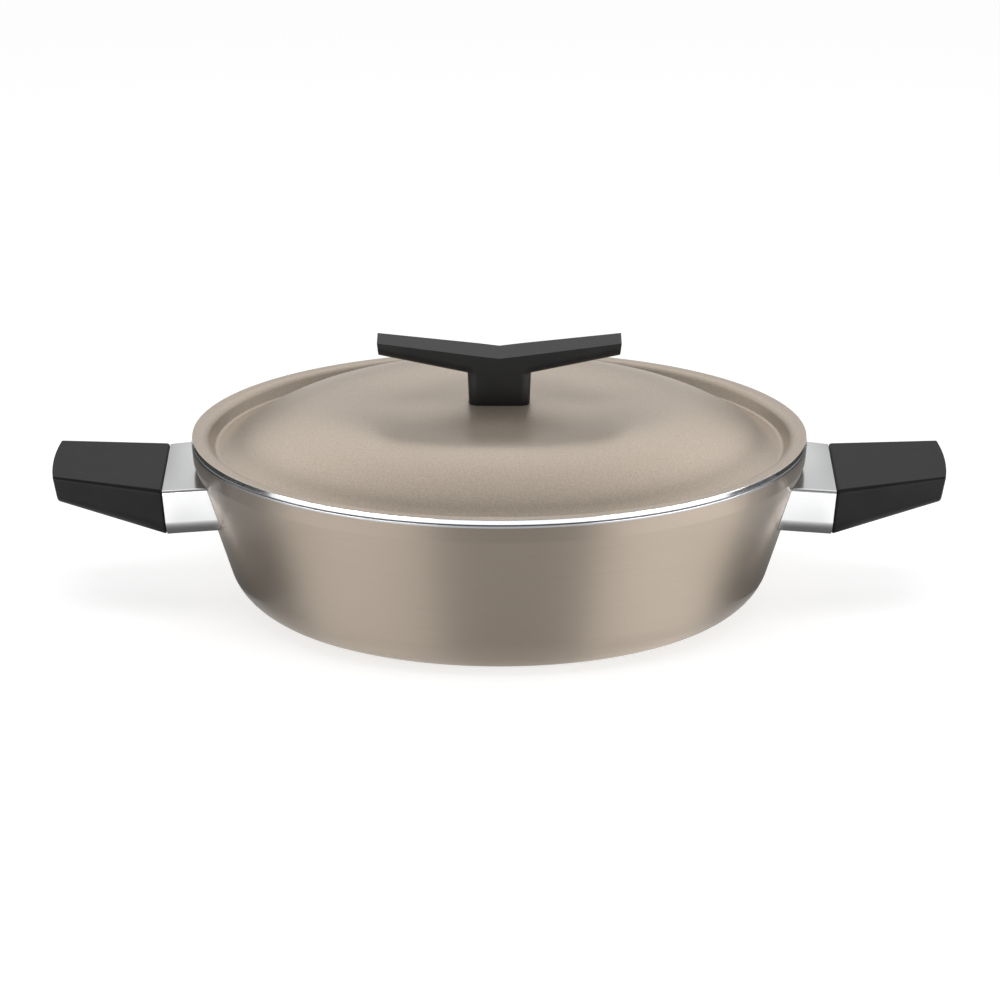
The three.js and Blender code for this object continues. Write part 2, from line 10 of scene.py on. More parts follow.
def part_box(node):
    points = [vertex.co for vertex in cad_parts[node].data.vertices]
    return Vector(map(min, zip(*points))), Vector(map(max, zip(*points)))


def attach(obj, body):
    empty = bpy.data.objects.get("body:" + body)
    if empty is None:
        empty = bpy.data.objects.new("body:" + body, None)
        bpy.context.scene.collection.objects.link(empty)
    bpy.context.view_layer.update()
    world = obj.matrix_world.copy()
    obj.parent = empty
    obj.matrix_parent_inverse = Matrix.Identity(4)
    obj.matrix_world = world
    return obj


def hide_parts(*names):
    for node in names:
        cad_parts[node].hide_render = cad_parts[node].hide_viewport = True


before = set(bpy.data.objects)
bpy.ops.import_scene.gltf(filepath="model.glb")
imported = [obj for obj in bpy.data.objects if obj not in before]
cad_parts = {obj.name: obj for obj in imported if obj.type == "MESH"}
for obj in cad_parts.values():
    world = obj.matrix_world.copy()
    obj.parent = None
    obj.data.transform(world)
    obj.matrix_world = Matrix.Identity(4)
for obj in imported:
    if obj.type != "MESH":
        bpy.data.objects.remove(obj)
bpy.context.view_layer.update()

# Sizes taken from the frame
_, pot_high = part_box("pot_body")
_, lid_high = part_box("lid_shell")
RIM_RADIUS = pot_high.x
POT_HEIGHT = pot_high.z
LID_RADIUS = lid_high.x
PAD_TOP = lid_high.z

# Signs of Y
FRONT = -1
BACK = 1

# Smoothness
TURN_STEPS = 192
FASTENER_STEPS = 48
ARC_STEP = math.radians(6)
LEAST_ARC_STEPS = 2
SAME_PLACE = 1e-7
SHARP_EDGE = math.radians(45)

# Pot
RIM_BAND = 0.0011
RIM_ROUNDING = 0.0005
COLLAR_HEIGHT = 0.006
COLLAR_ANGLE = math.radians(5.2)
COLLAR_CREASE = 0.004
WALL_ANGLE = math.radians(18.25)
CORNER_RADIUS = 0.0226
WALL = 0.0026
BASE = 0.004
FOOT_RING_WIDTH = 0.006
BASE_RECESS = 0.0006
GROOVE_PITCH = 0.008
GROOVE_WIDTH = 0.0022
GROOVE_FLOOR = 0.0011
GROOVE_DEPTH = 0.0004
GROOVES = 8

# Lid
LID_SHEET = 0.002
SEAM = 0.00015
EDGE_ROUNDING = 0.0003
COATED_ROUNDING = 0.0001
LOWER_EDGE = 0.00015
LID_PLAY = 0.0012
SEAT_DEPTH = 0.0053
LIP_BEND = 0.002
SKIRT_ANGLE = math.radians(58)
TROUGH_RADIUS = 0.0012
FOOT_RADIUS = 0.003
FOOT_ANGLE = math.radians(22)
FLANK_RADIUS = 0.045
FLANK_ANGLE = math.radians(33)
CREST_RUN = 0.0179
DISH_DEPTH = 0.0012
PAD_RADIUS = 0.017
DOME_STEPS = 24
FLANK_STEPS = 6
KNOB_HOLE_RADIUS = 0.0023

# Knob
STEM_HEIGHT = 0.0133
STEM_HALF_WIDTH = 0.01265
STEM_HALF_DEPTH = 0.0071
STEM_CORNER = 0.0045
STEM_DRAFT = math.radians(2.15)
FRONT_LEAN = math.radians(8.35)
BAR_HALF_LENGTH = 0.0487
BAR_SWEEP = math.radians(3.8)
BAR_TOP_ANGLE = math.radians(6.75)
BAR_UNDER_ANGLE = math.radians(10.9)
BAR_DIP_HEIGHT = 0.0203
BAR_FILLET = 0.0005
TIP_LEAN = math.radians(6)
KNOB_ROUNDING = 0.004
KNOB_ROUNDING_STEPS = 7
MOULDED_EDGE = 0.0008
MOULDED_EDGE_STEPS = 3
INSERT_BORE_RADIUS = 0.0041

# Handles
HANDLE_DROP = 0.0223
SLEEVE_REACH = 0.0151
SLEEVE_PITCH = math.radians(5.2)
SLEEVE_SHEET = 0.0008
SLEEVE_FLARE = 0.08
SLEEVE_EDGE = 0.0012
SLEEVE_COLUMNS = 24
SLEEVE_GAP = 0.0002
SLEEVE_SEARCH_STEPS = 30
JOINT_HALF_WIDTH = 0.0348
JOINT_HALF_HEIGHT = 0.0098
JOINT_GAP = 0.0003
HANDLE_LEAN = 0.0016
HANDLE_CORNER = 0.007
GRIP_LENGTH = 0.0447
GRIP_BULGE = 0.00145
GRIP_END_HALF_WIDTH = 0.0271
GRIP_END_RISE = 0.0135
GRIP_END_HEIGHT = 0.0113
GRIP_END_LEAN = math.radians(11)
GRIP_STEP = 0.0005
GRIP_EDGE = 0.0019
GRIP_MOUTH_EDGE = 0.001
GRIP_EDGE_STEPS = 4
BULGE_COLUMNS = 9
BULGE_SHARE = 0.8
SPIGOT_START = 0.0014
SPIGOT_END = -0.005

# Fixings
SCREW_OFFSET = 0.0018
SCREW_PITCH = math.radians(7.4)
SCREW_RADIUS = 0.002
SCREW_HOLE_RADIUS = 0.0023
SCREW_HEAD_RADIUS = 0.0031
SCREW_HEAD_HEIGHT = 0.0026
SCREW_CROWN_SHARE = 0.6
SCREW_SHOULDER = 0.028
SCREW_TIP = -0.0117
SCREW_POCKET_RADIUS = 0.0037
WASHER_THICKNESS = 0.0008
BRACKET_PLATE = 0.003
RIVET_OFFSET = 0.013
RIVET_RADIUS = 0.0025
RIVET_HEAD_RADIUS = 0.0045
RIVET_HEAD_HEIGHT = 0.0016
RIVET_DOME_SHARE = 0.9
KNOB_SCREW_RADIUS = 0.002
KNOB_SCREW_HEAD_RADIUS = 0.0038
KNOB_SCREW_HEAD_HEIGHT = 0.0025
KNOB_WASHER_RADIUS = 0.0065
KNOB_WASHER_THICKNESS = 0.001
INSERT_LENGTH = 0.011
KNOB_SCREW_STOP = 0.0023
CROSS_ARM = 0.0018
CROSS_HALF_WIDTH = 0.0006
CROSS_DEPTH = 0.0013
FINE_EDGE = 0.0003

# Camera, fitted to the rim, base and handle edges
VIEW_DISTANCE = 2.5
VIEW_ELEVATION = math.radians(16.565)
VIEW_TARGET = Vector((0, 0, 0.040))
VIEW_LENS = 224.0
VIEW_SENSOR = 36.0
VIEW_SHIFT = (0.0007, 0.0029)

# Patterns of the finishes
AXIS_GUARD = 1e-4
RADIUS_SHARE = 0.7
LINE_DETAIL = 3.0
LINE_ROUGHNESS = 0.65
GRAIN_DETAIL = 2.0
GRAIN_ROUGHNESS = 0.6
SPECK_MARKS = (0.28, 0.12)
LEVEL_MARKS = (0.3, 0.7)
METAL_SWING = 0.06
ACROSS_RINGS = 0.25

# Colour sockets of a Mix node
MIX_FIRST = 6
MIX_SECOND = 7
MIX_RESULT = 2


# Shapes
def turning(before, corner, after):
    """Angle by which a path turns at a corner."""
    return (corner - before).angle(after - corner)


def round_corners(shape, verts, radii, closed):
    """Rounds each vertex of a path to its own radius."""
    places = [vert.co.copy() for vert in verts]
    last = len(verts) - 1
    for i, radius in enumerate(radii):
        is_end = not closed and i in (0, last)
        if not radius or is_end:
            continue
        turn = turning(places[i - 1], places[i], places[(i + 1) % len(places)])
        steps = max(LEAST_ARC_STEPS, math.ceil(turn / ARC_STEP))
        bmesh.ops.bevel(shape, geom=[verts[i]], offset=radius * math.tan(turn / 2), offset_type="OFFSET",
                        segments=steps, profile=0.5, affect="VERTICES", material=-1)


def path_shape(corners, closed):
    """A rounded path in the XZ plane from (radius, height, rounding) corners."""
    shape = bmesh.new()
    verts = [shape.verts.new((radius, 0, height)) for radius, height, _ in corners]
    for vert, following in zip(verts, verts[1:]):
        shape.edges.new((vert, following))
    if closed:
        shape.edges.new((verts[-1], verts[0]))
    round_corners(shape, verts, [rounding for _, _, rounding in corners], closed)
    bmesh.ops.remove_doubles(shape, verts=shape.verts, dist=SAME_PLACE)
    return shape


def turned_shape(corners, steps=TURN_STEPS, closed=False):
    """A solid of revolution about Z."""
    shape = path_shape(corners, closed)
    path = shape.verts[:] + shape.edges[:]
    bmesh.ops.spin(shape, geom=path, cent=(0, 0, 0), axis=(0, 0, 1), dvec=(0, 0, 0), angle=2 * math.pi,
                   steps=steps, use_merge=True, use_duplicate=False)
    bmesh.ops.remove_doubles(shape, verts=shape.verts, dist=SAME_PLACE)
    bmesh.ops.recalc_face_normals(shape, faces=shape.faces)
    return shape


def ring_shape(inner, outer, bottom, top):
    """A washer with softened edges."""
    section = ((inner, bottom), (outer, bottom), (outer, top), (inner, top))
    corners = [(radius, height, FINE_EDGE) for radius, height in section]
    return turned_shape(corners, FASTENER_STEPS, closed=True)


def section_shape(corners):
    """A flat face in the XY plane from (across, up, rounding) corners."""
    shape = bmesh.new()
    verts = [shape.verts.new((across, up, 0)) for across, up, _ in corners]
    shape.faces.new(verts)
    round_corners(shape, verts, [rounding for _, _, rounding in corners], True)
    return shape


def extrude_section(shape, offset):
    """Pulls a flat section along an offset into a solid, and returns its far face."""
    pulled = bmesh.ops.extrude_face_region(shape, geom=shape.faces[:])["geom"]
    verts = [item for item in pulled if isinstance(item, bmesh.types.BMVert)]
    bmesh.ops.translate(shape, verts=verts, vec=offset)
    return next(item for item in pulled if isinstance(item, bmesh.types.BMFace))


def slice_shape(shape, place, normal):
    """Cuts new edges into a shape where a plane crosses it."""
    everything = shape.verts[:] + shape.edges[:] + shape.faces[:]
    bmesh.ops.bisect_plane(shape, geom=everything, dist=SAME_PLACE, plane_co=place, plane_no=normal)


def moved(shape, *matrices):
    """Moves a shape by one matrix after the other, and gives it back."""
    for matrix in matrices:
        bmesh.ops.transform(shape, verts=shape.verts, matrix=matrix)
    return shape


def sharp_edges(shape):
    return [edge for edge in shape.edges if edge.is_manifold and edge.calc_face_angle() > SHARP_EDGE]


def round_edges(shape, edges, radius, segments, clamp=True):
    bmesh.ops.bevel(shape, geom=edges, offset=radius, offset_type="OFFSET", segments=segments, profile=0.5,
                    affect="EDGES", clamp_overlap=clamp, material=-1)


def new_object(name, data):
    """Puts data into the scene as an object."""
    item = bpy.data.objects.new(name, data)
    bpy.context.scene.collection.objects.link(item)
    return item


def mesh_object(name, shape, materials=()):
    """Puts a shape into the scene as an object, and frees the shape."""
    mesh = bpy.data.meshes.new(name)
    shape.to_mesh(mesh)
    shape.free()
    for material in materials:
        mesh.materials.append(material)
    return new_object(name, mesh)


def combined(shape, tool, operation):
    """Joins a shape with another, or cuts it, and gives the result."""
    base = mesh_object("scratch", shape)
    other = mesh_object("scratch", tool)
    modifier = base.modifiers.new("combine", "BOOLEAN")
    modifier.object = other
    modifier.operation = operation
    modifier.solver = "EXACT"
    result = bmesh.new()
    result.from_object(base, bpy.context.evaluated_depsgraph_get())
    for item in (base, other):
        mesh = item.data
        bpy.data.objects.remove(item)
        bpy.data.meshes.remove(mesh)
    return result


def make_piece(name, shape, materials, body, slot, *nodes):
    """Turns a shape into a piece that rides on a body and stands for CAD nodes."""
    piece = mesh_object(name, shape, materials)
    piece.data.shade_smooth()
    even = piece.modifiers.new("even_shading", "WEIGHTED_NORMAL")
    even.keep_sharp = True
    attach(piece, body)
    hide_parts(*nodes)
    return piece


# Shader groups
VECTOR = "NodeSocketVector"
NUMBER = "NodeSocketFloat"


def new_group(name, inputs, outputs):
    """An empty shader group with named sockets, and the ends where values come in and go out."""
    group = bpy.data.node_groups.new(name, "ShaderNodeTree")
    for in_out, kinds in (("INPUT", inputs), ("OUTPUT", outputs)):
        for socket, kind in kinds.items():
            group.interface.new_socket(name=socket, in_out=in_out, socket_type=kind)
    given = group.nodes.new("NodeGroupInput").outputs
    result = group.nodes.new("NodeGroupOutput").inputs
    return group, given, result


def math_node(tree, operation, first, second=None):
    node = tree.nodes.new("ShaderNodeMath")
    node.operation = operation
    for i, value in enumerate((first, second)):
        if isinstance(value, (int, float)):
            node.inputs[i].default_value = value
        elif value is not None:
            tree.links.new(value, node.inputs[i])
    return node.outputs[0]


def mapped(tree, value, marks, low, high, easing="LINEAR"):
    """Goes from a low to a high level as a value goes from one mark to the other."""
    node = tree.nodes.new("ShaderNodeMapRange")
    node.interpolation_type = easing
    node.inputs["From Min"].default_value, node.inputs["From Max"].default_value = marks
    node.inputs["To Min"].default_value = low
    node.inputs["To Max"].default_value = high
    tree.links.new(value, node.inputs["Value"])
    return node.outputs[0]


def turned_lines_group():
    """Fine rings about Z, as a lathe or a buffing wheel leaves them: a level from 0 to 1."""
    inputs = {"Vector": VECTOR, "Lines per metre": NUMBER, "Breaks per turn": NUMBER}
    group, given, result = new_group("turned_lines", inputs, {"Level": NUMBER})
    parts = group.nodes.new("ShaderNodeSeparateXYZ")
    group.links.new(given["Vector"], parts.inputs[0])
    x, y, z = parts.outputs
    squares = [math_node(group, "MULTIPLY", part, part) for part in (x, y)]
    radius = math_node(group, "SQRT", math_node(group, "ADD", *squares))
    guarded = math_node(group, "MAXIMUM", radius, AXIS_GUARD)
    place = group.nodes.new("ShaderNodeCombineXYZ")
    for part, target in zip((x, y), place.inputs):
        around = math_node(group, "DIVIDE", part, guarded)
        group.links.new(math_node(group, "MULTIPLY", around, given["Breaks per turn"]), target)
    along = math_node(group, "SUBTRACT", z, math_node(group, "MULTIPLY", radius, RADIUS_SHARE))
    group.links.new(math_node(group, "MULTIPLY", along, given["Lines per metre"]), place.inputs["Z"])
    noise = group.nodes.new("ShaderNodeTexNoise")
    noise.inputs["Scale"].default_value = 1.0
    noise.inputs["Detail"].default_value = LINE_DETAIL
    noise.inputs["Roughness"].default_value = LINE_ROUGHNESS
    group.links.new(place.outputs[0], noise.inputs["Vector"])
    group.links.new(noise.outputs[0], result["Level"])
    return group


def fine_grain_group():
    """Sand-like grain of a sprayed or moulded surface: a height and a sparse speck mask."""
    inputs = {"Vector": VECTOR, "Grains per metre": NUMBER}
    group, given, result = new_group("fine_grain", inputs, {"Height": NUMBER, "Specks": NUMBER})
    noise = group.nodes.new("ShaderNodeTexNoise")
    noise.inputs["Detail"].default_value = GRAIN_DETAIL
    noise.inputs["Roughness"].default_value = GRAIN_ROUGHNESS
    cells = group.nodes.new("ShaderNodeTexVoronoi")
    for texture in (noise, cells):
        group.links.new(given["Vector"], texture.inputs["Vector"])
        group.links.new(given["Grains per metre"], texture.inputs["Scale"])
    specks = mapped(group, cells.outputs["Distance"], SPECK_MARKS, 0, 1)
    group.links.new(noise.outputs[0], result["Height"])
    group.links.new(specks, result["Specks"])
    return group


TURNED_LINES = turned_lines_group()
FINE_GRAIN = fine_grain_group()


# Materials
class Finish:
    """A Principled material with helpers that hang a pattern on its sockets."""

    def __init__(self, name, color, metallic, roughness):
        self.material = bpy.data.materials.new(name)
        self.material.use_nodes = True
        self.tree = self.material.node_tree
        self.shader = self.tree.nodes["Principled BSDF"]
        self.shader.inputs["Base Color"].default_value = (*color, 1)
        self.shader.inputs["Metallic"].default_value = metallic
        self.shader.inputs["Roughness"].default_value = roughness
        self.place = self.tree.nodes.new("ShaderNodeTexCoord").outputs["Object"]

    def group(self, group, **values):
        node = self.tree.nodes.new("ShaderNodeGroup")
        node.node_tree = group
        self.tree.links.new(self.place, node.inputs["Vector"])
        for name, value in values.items():
            node.inputs[name.replace("_", " ").capitalize()].default_value = value
        return node.outputs

    def noise(self, scale, detail):
        node = self.tree.nodes.new("ShaderNodeTexNoise")
        node.inputs["Scale"].default_value = scale
        node.inputs["Detail"].default_value = detail
        self.tree.links.new(self.place, node.inputs["Vector"])
        return node.outputs[0]

    def mix(self, factor, second):
        """A node that goes over to a plain colour as a factor rises."""
        node = self.tree.nodes.new("ShaderNodeMix")
        node.data_type = "RGBA"
        self.tree.links.new(factor, node.inputs["Factor"])
        node.inputs[MIX_SECOND].default_value = (*second, 1)
        return node

    def ramp(self, level, low, high):
        """Colours between two shades as a level rises."""
        node = self.mix(self.spread(level, 0, 1), high)
        node.inputs[MIX_FIRST].default_value = (*low, 1)
        return node.outputs[MIX_RESULT]

    def blend_color(self, factor, first, second):
        """Lays a plain colour over a coloured output where a factor is high."""
        node = self.mix(factor, second)
        self.tree.links.new(first, node.inputs[MIX_FIRST])
        return node.outputs[MIX_RESULT]

    def spread(self, level, low, high):
        """Maps the middle stretch of a level to a range of values."""
        return mapped(self.tree, level, LEVEL_MARKS, low, high)

    def bump(self, height, distance, strength):
        node = self.tree.nodes.new("ShaderNodeBump")
        node.inputs["Distance"].default_value = distance
        node.inputs["Strength"].default_value = strength
        self.tree.links.new(height, node.inputs["Height"])
        self.tree.links.new(node.outputs[0], self.shader.inputs["Normal"])

    def feed(self, name, output):
        self.tree.links.new(output, self.shader.inputs[name])

    def brushed(self, anisotropy):
        """Stretches reflections across rings about Z."""
        self.shader.inputs["Anisotropic"].default_value = anisotropy
        self.shader.inputs["Anisotropic Rotation"].default_value = ACROSS_RINGS

    def lacquered(self, weight, roughness):
        """Lays a clear coat over the surface."""
        self.shader.inputs["Coat Weight"].default_value = weight
        self.shader.inputs["Coat Roughness"].default_value = roughness


def body_coating():
    finish = Finish("body_coating", color=(0.29, 0.245, 0.2), metallic=0.92, roughness=0.55)
    lines = finish.group(TURNED_LINES, lines_per_metre=1500.0, breaks_per_turn=2.5)["Level"]
    finish.feed("Base Color", finish.ramp(lines, low=(0.275, 0.233, 0.19), high=(0.305, 0.257, 0.211)))
    finish.feed("Roughness", finish.spread(lines, low=0.5, high=0.58))
    finish.bump(lines, distance=0.0001, strength=0.06)
    finish.brushed(anisotropy=0.9)
    finish.lacquered(weight=0.3, roughness=0.2)
    return finish.material


def lid_coating():
    finish = Finish("lid_coating", color=(0.56, 0.472, 0.386), metallic=0.62, roughness=0.36)
    grain = finish.group(FINE_GRAIN, grains_per_metre=1500.0)
    tone = finish.ramp(grain["Height"], low=(0.48, 0.402, 0.327), high=(0.64, 0.542, 0.446))
    finish.feed("Base Color", finish.blend_color(grain["Specks"], tone, (0.7, 0.602, 0.505)))
    finish.feed("Roughness", finish.spread(grain["Height"], low=0.32, high=0.42))
    finish.bump(grain["Height"], distance=0.0002, strength=0.3)
    return finish.material


def bare_edge():
    finish = Finish("bare_edge", color=(0.82, 0.83, 0.84), metallic=1.0, roughness=0.14)
    lines = finish.group(TURNED_LINES, lines_per_metre=9000.0, breaks_per_turn=2.0)["Level"]
    finish.feed("Roughness", finish.spread(lines, low=0.1, high=0.2))
    finish.feed("Base Color", finish.ramp(lines, low=(0.78, 0.79, 0.8), high=(0.86, 0.87, 0.88)))
    return finish.material


# Painted shade: the pot's bare turned rim is coloured far darker than the lid's bare edge of the same metal
def shaded_rim_metal():
    finish = Finish("shaded_rim_metal", color=(0.33, 0.335, 0.345), metallic=1.0, roughness=0.26)
    lines = finish.group(TURNED_LINES, lines_per_metre=9000.0, breaks_per_turn=2.0)["Level"]
    finish.feed("Roughness", finish.spread(lines, low=0.22, high=0.32))
    finish.feed("Base Color", finish.ramp(lines, low=(0.29, 0.295, 0.304), high=(0.37, 0.375, 0.386)))
    return finish.material


def base_metal():
    finish = Finish("base_metal", color=(0.7, 0.7, 0.7), metallic=1.0, roughness=0.3)
    lines = finish.group(TURNED_LINES, lines_per_metre=2200.0, breaks_per_turn=0.6)["Level"]
    finish.feed("Roughness", finish.spread(lines, low=0.24, high=0.4))
    finish.feed("Base Color", finish.ramp(lines, low=(0.62, 0.62, 0.62), high=(0.76, 0.76, 0.76)))
    finish.bump(lines, distance=0.0001, strength=0.15)
    finish.brushed(anisotropy=0.6)
    return finish.material


def inner_lining():
    finish = Finish("inner_lining", color=(0.035, 0.033, 0.031), metallic=0.0, roughness=0.42)
    grain = finish.group(FINE_GRAIN, grains_per_metre=1500.0)
    tone = finish.ramp(grain["Height"], low=(0.028, 0.027, 0.026), high=(0.04, 0.038, 0.036))
    finish.feed("Base Color", finish.blend_color(grain["Specks"], tone, (0.11, 0.105, 0.098)))
    finish.feed("Roughness", finish.spread(grain["Height"], low=0.36, high=0.46))
    finish.bump(grain["Height"], distance=0.0001, strength=0.12)
    return finish.material


def moulded_black(name, shine):
    finish = Finish(name, color=(0.009, 0.009, 0.009), metallic=0.0, roughness=0.45)
    finish.shader.inputs["Specular IOR Level"].default_value = shine
    grain = finish.group(FINE_GRAIN, grains_per_metre=4200.0)
    cloud = finish.noise(scale=90.0, detail=2.0)
    tone = finish.ramp(cloud, low=(0.0075, 0.0075, 0.0078), high=(0.0105, 0.0105, 0.0105))
    finish.feed("Base Color", tone)
    finish.feed("Roughness", finish.spread(grain["Height"], low=0.4, high=0.52))
    finish.bump(grain["Height"], distance=0.0001, strength=0.2)
    return finish.material


def polished_steel():
    finish = Finish("polished_steel", color=(0.88, 0.885, 0.89), metallic=1.0, roughness=0.17)
    smear = finish.noise(scale=35.0, detail=3.0)
    finish.feed("Roughness", finish.spread(smear, low=0.15, high=0.19))
    finish.feed("Base Color", finish.ramp(smear, low=(0.86, 0.865, 0.87), high=(0.9, 0.905, 0.91)))
    return finish.material


def plain_metal(name, dark, light, roughness):
    finish = Finish(name, color=dark, metallic=1.0, roughness=roughness)
    blotch = finish.noise(scale=600.0, detail=3.0)
    finish.feed("Base Color", finish.ramp(blotch, dark, light))
    finish.feed("Roughness", finish.spread(blotch, roughness - METAL_SWING, roughness + METAL_SWING))
    return finish.material


BODY_COATING = body_coating()
LID_COATING = lid_coating()
BARE_EDGE = bare_edge()
SHADED_RIM_METAL = shaded_rim_metal()
BASE_METAL = base_metal()
INNER_LINING = inner_lining()
GRIP_BLACK = moulded_black("grip_black", shine=0.13)
KNOB_BLACK = moulded_black("knob_black", shine=0.3)
POLISHED_STEEL = polished_steel()
FASTENER_STEEL = plain_metal("fastener_steel", (0.48, 0.48, 0.48), (0.62, 0.62, 0.62), roughness=0.3)
BARE_ALUMINIUM = plain_metal("bare_aluminium", (0.6, 0.6, 0.61), (0.72, 0.72, 0.73), roughness=0.32)
BRASS = plain_metal("brass", (0.5, 0.35, 0.12), (0.62, 0.45, 0.17), roughness=0.3)


# Pot
STRAIGHT_TOP = POT_HEIGHT - RIM_BAND - COLLAR_HEIGHT
STRAIGHT_RADIUS = RIM_RADIUS - COLLAR_HEIGHT * math.tan(COLLAR_ANGLE)


def wall_radius(height):
    return STRAIGHT_RADIUS - (STRAIGHT_TOP - height) * math.tan(WALL_ANGLE)


def pot_outside():
    return [
        (wall_radius(0), 0, CORNER_RADIUS),
        (STRAIGHT_RADIUS, STRAIGHT_TOP, COLLAR_CREASE),
        (RIM_RADIUS, POT_HEIGHT - RIM_BAND, 0),
        (RIM_RADIUS, POT_HEIGHT, RIM_ROUNDING),
    ]


def pot_inside():
    inset = WALL / math.cos(WALL_ANGLE)
    return [
        (RIM_RADIUS - WALL, POT_HEIGHT, RIM_ROUNDING),
        (RIM_RADIUS - WALL, POT_HEIGHT - RIM_BAND, 0),
        (STRAIGHT_RADIUS - inset, STRAIGHT_TOP, COLLAR_CREASE),
        (wall_radius(BASE) - inset, BASE, CORNER_RADIUS - WALL),
        (0, BASE, 0),
    ]


FLAT_RADIUS = wall_radius(0) - CORNER_RADIUS * math.tan((math.pi / 2 - WALL_ANGLE) / 2)
RECESS_RADIUS = FLAT_RADIUS - FOOT_RING_WIDTH


def pot_underside():
    """Base from the axis out: a recess with turned grooves inside a flat foot ring."""
    corners = [(0, BASE_RECESS, 0)]
    bottom = BASE_RECESS + GROOVE_DEPTH
    for i in range(1, GROOVES + 1):
        middle = i * GROOVE_PITCH
        corners += [
            (middle - GROOVE_WIDTH / 2, BASE_RECESS, 0),
            (middle - GROOVE_FLOOR / 2, bottom, 0),
            (middle + GROOVE_FLOOR / 2, bottom, 0),
            (middle + GROOVE_WIDTH / 2, BASE_RECESS, 0),
        ]
    corners += [(RECESS_RADIUS - BASE_RECESS, BASE_RECESS, 0), (RECESS_RADIUS, 0, 0)]
    return corners


def make_pot():
    shape = turned_shape(pot_underside() + pot_outside() + pot_inside())
    materials = [BODY_COATING, SHADED_RIM_METAL, INNER_LINING, BASE_METAL]
    for face in shape.faces:
        middle = face.calc_center_median()
        radius = math.hypot(middle.x, middle.y)
        outward = face.normal.x * middle.x + face.normal.y * middle.y
        is_inside = middle.z > BASE - SAME_PLACE and (outward < 0 or radius < FLAT_RADIUS)
        # The rim band takes the darker rim metal, which is painted shade
        if middle.z > POT_HEIGHT - RIM_BAND:
            finish = SHADED_RIM_METAL
        elif is_inside:
            finish = INNER_LINING
        elif radius < FLAT_RADIUS:
            finish = BASE_METAL
        else:
            finish = BODY_COATING
        face.material_index = materials.index(finish)
    make_piece("pot_bowl", shape, materials, "pot", "body_coating", "pot_body")


# Lid
FLANGE_TOP = POT_HEIGHT + SEAM + LID_SHEET
FLANGE_BOTTOM = POT_HEIGHT + SEAM
PAD_BOTTOM = PAD_TOP - LID_SHEET
LIP = RIM_RADIUS - WALL - LID_PLAY
LIP_RADIUS = LIP_BEND + LID_SHEET
SKIRT_BENDS = LIP_RADIUS + TROUGH_RADIUS
SKIRT_DROP = SEAT_DEPTH - SKIRT_BENDS * (1 - math.cos(SKIRT_ANGLE))
TROUGH_X = LIP - SKIRT_BENDS * math.sin(SKIRT_ANGLE) - SKIRT_DROP / math.tan(SKIRT_ANGLE)
TROUGH_Z = FLANGE_TOP - SEAT_DEPTH
FLANK_X = TROUGH_X + (FLANK_RADIUS - FOOT_RADIUS) * math.sin(FOOT_ANGLE)
FLANK_Z = TROUGH_Z + FOOT_RADIUS + (FLANK_RADIUS - FOOT_RADIUS) * math.cos(FOOT_ANGLE)


def on_flank(depth, slope):
    """Point of the dome's hollow flank where it has a slope, at a depth below the upper face."""
    radius = FLANK_RADIUS + depth
    return Vector((FLANK_X - radius * math.sin(slope), FLANK_Z - radius * math.cos(slope)))


STEEPEST = on_flank(0, FLANK_ANGLE)
CREST_RADIUS = STEEPEST.x - (PAD_TOP - STEEPEST.y) / math.tan(FLANK_ANGLE) - CREST_RUN


def lid_face(depth):
    """One face of the sheet, from the lip to the pad, at a depth below the upper face."""
    lip_radius = LIP_RADIUS - depth
    trough_radius = TROUGH_RADIUS + depth
    foot_radius = FOOT_RADIUS + depth
    floor = TROUGH_Z - depth
    top = PAD_TOP - depth
    start = on_flank(depth, FLANK_ANGLE)
    knee = Vector((start.x - (top - start.y) / math.tan(FLANK_ANGLE), top))
    crest = Vector((CREST_RADIUS, top))
    corners = [
        (LIP - lip_radius * math.tan(SKIRT_ANGLE / 2), FLANGE_TOP - depth, lip_radius),
        (TROUGH_X + trough_radius * math.tan(SKIRT_ANGLE / 2), floor, trough_radius),
        (TROUGH_X - foot_radius * math.tan(FOOT_ANGLE / 2), floor, foot_radius),
    ]
    for i in range(FLANK_STEPS):
        point = on_flank(depth, FOOT_ANGLE + (FLANK_ANGLE - FOOT_ANGLE) * i / FLANK_STEPS)
        corners.append((point.x, point.y, 0))
    for i in range(DOME_STEPS + 1):
        share = i / DOME_STEPS
        point = start.lerp(knee, share).lerp(knee.lerp(crest, share), share)
        corners.append((point.x, point.y, 0))
    for i in range(1, DOME_STEPS + 1):
        share = i / DOME_STEPS
        sag = DISH_DEPTH * (1 - math.cos(2 * math.pi * share)) / 2
        corners.append((CREST_RADIUS + (PAD_RADIUS - CREST_RADIUS) * share, top - sag, 0))
    return corners


def make_lid():
    edge = [(LID_RADIUS, FLANGE_BOTTOM, LOWER_EDGE), (LID_RADIUS, FLANGE_TOP, EDGE_ROUNDING)]
    hole = [(KNOB_HOLE_RADIUS, PAD_TOP, 0), (KNOB_HOLE_RADIUS, PAD_BOTTOM, 0)]
    under = lid_face(LID_SHEET)[::-1]
    shape = turned_shape(edge + lid_face(0) + hole + under, closed=True)
    materials = [LID_COATING, BARE_EDGE]
    for face in shape.faces:
        middle = face.calc_center_median()
        is_edge = math.hypot(middle.x, middle.y) > LID_RADIUS - EDGE_ROUNDING
        if is_edge and FLANGE_BOTTOM + SAME_PLACE < middle.z < FLANGE_TOP - COATED_ROUNDING:
            face.material_index = materials.index(BARE_EDGE)
    make_piece("lid_pressing", shape, materials, "lid", "lid_coating", "lid_shell")


# Knob, with its outline stood up at the front: across along X, up along Z
FACING_FRONT = Matrix(((1, 0, 0, 0), (0, 0, 1, FRONT), (0, 1, 0, 0), (0, 0, 0, 1)))


def front_depth(height):
    """Half the knob's depth at a height: front and back lean out from the stem's foot."""
    return STEM_HALF_DEPTH + (height - PAD_TOP) * math.tan(FRONT_LEAN)


